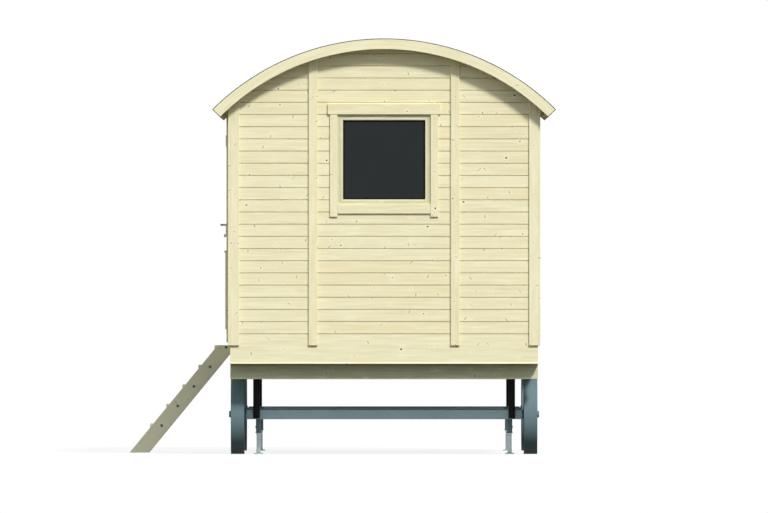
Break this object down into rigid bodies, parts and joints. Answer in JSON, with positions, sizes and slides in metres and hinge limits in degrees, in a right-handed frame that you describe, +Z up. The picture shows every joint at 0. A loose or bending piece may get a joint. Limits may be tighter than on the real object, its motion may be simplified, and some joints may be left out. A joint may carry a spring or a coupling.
{
  "type": "shepherds hut",
  "caption": "Arched-roof timber shepherds hut on spoked steel wheels, with telescopic jacks, side door and ladder.",
  "frame": {"origin": "on the ground, under the middle of the outline of hut and ladder", "axes": "+X to the right of the front end wall, +Y from the front end to the rear along the length, +Z up"},
  "size_m": [3.3474, 4.89, 3.2447],
  "materials": {
    "wood": "planed pale spruce, bare",
    "shaded_wood": "planed pale spruce, bare",
    "sash_wood": "clear-coated pale spruce",
    "felt": "mineral roofing felt",
    "dark_glass": "dark tinted glass",
    "axle_steel": "satin grey-blue paint",
    "wheel_steel": "satin dark blue-grey paint",
    "black_steel": "black paint",
    "zinc": "galvanised",
    "bright_steel": "brushed"
  },
  "bodies": {
    "hut": {"front_cross_beam": "shaded_wood", "rear_cross_beam": "shaded_wood", "chassis_rails": "shaded_wood", "floor_joists": "shaded_wood", "floor_boards": "wood", "front_axle": "axle_steel", "rear_axle": "axle_steel", "axle_hangers": "black_steel", "jack_sleeves": "axle_steel", "jack_bushes": "zinc", "front_wall": "wood", "rear_wall": "wood", "right_wall": "wood", "left_wall_front": "wood", "left_wall_rear": "wood", "left_wall_over_door": "wood", "left_wall_under_door": "wood", "corner_boards": "wood", "battens": "wood", "window_casings": "wood", "window_sashes": "sash_wood", "window_panes": "dark_glass", "roof_ribs": "wood", "roof_deck": "wood", "eaves_boards": "wood", "front_barge_board": "wood", "rear_barge_board": "wood", "roof_felt": "felt", "door_lining": "wood", "door_casing": "wood", "door_threshold": "wood", "hinge_frames": "bright_steel", "ladder_stringers": "wood", "ladder_treads": "wood"},
    "door": {"door_leaf": "wood", "door_panel": "wood", "door_glass": "dark_glass", "hinge_flaps": "bright_steel", "lock_plates": "bright_steel"},
    "lever": {"door_lever": "bright_steel"},
    "wheel_fl": {"front_left_wheel": "wheel_steel"},
    "wheel_fr": {"front_right_wheel": "wheel_steel"},
    "wheel_rl": {"rear_left_wheel": "wheel_steel"},
    "wheel_rr": {"rear_right_wheel": "wheel_steel"},
    "leg_fl": {"front_left_leg": "zinc"},
    "leg_fr": {"front_right_leg": "zinc"},
    "leg_rl": {"rear_left_leg": "zinc"},
    "leg_rr": {"rear_right_leg": "zinc"}
  },
  "joints": [
    {"name": "door_hinge", "type": "hinge", "parent": "hut", "child": "door", "pos_m": [-0.90905, -0.4025, 1.742], "axis": [0, 0, 1], "range_deg": [0, 110]},
    {"name": "lever_turn", "type": "hinge", "parent": "door", "child": "lever", "pos_m": [-0.9, 0.345, 1.795], "axis": [1, 0, 0], "range_deg": [0, 40], "stiffness_Nm_per_rad": 1.2},
    {"name": "wheel_fl_spin", "type": "hinge", "parent": "hut", "child": "wheel_fl", "pos_m": [-0.81205, -1.705, 0.312], "axis": [1, 0, 0], "continuous": true},
    {"name": "wheel_fr_spin", "type": "hinge", "parent": "hut", "child": "wheel_fr", "pos_m": [1.47795, -1.705, 0.312], "axis": [1, 0, 0], "continuous": true},
    {"name": "wheel_rl_spin", "type": "hinge", "parent": "hut", "child": "wheel_rl", "pos_m": [-0.81205, 1.705, 0.312], "axis": [1, 0, 0], "continuous": true},
    {"name": "wheel_rr_spin", "type": "hinge", "parent": "hut", "child": "wheel_rr", "pos_m": [1.47795, 1.705, 0.312], "axis": [1, 0, 0], "continuous": true},
    {"name": "jack_fl_slide", "type": "slide", "parent": "hut", "child": "leg_fl", "axis": [0, 0, 1], "range_m": [0, 0.1]},
    {"name": "jack_fr_slide", "type": "slide", "parent": "hut", "child": "leg_fr", "axis": [0, 0, 1], "range_m": [0, 0.1]},
    {"name": "jack_rl_slide", "type": "slide", "parent": "hut", "child": "leg_rl", "axis": [0, 0, 1], "range_m": [0, 0.1]},
    {"name": "jack_rr_slide", "type": "slide", "parent": "hut", "child": "leg_rr", "axis": [0, 0, 1], "range_m": [0, 0.1]}
  ]
}
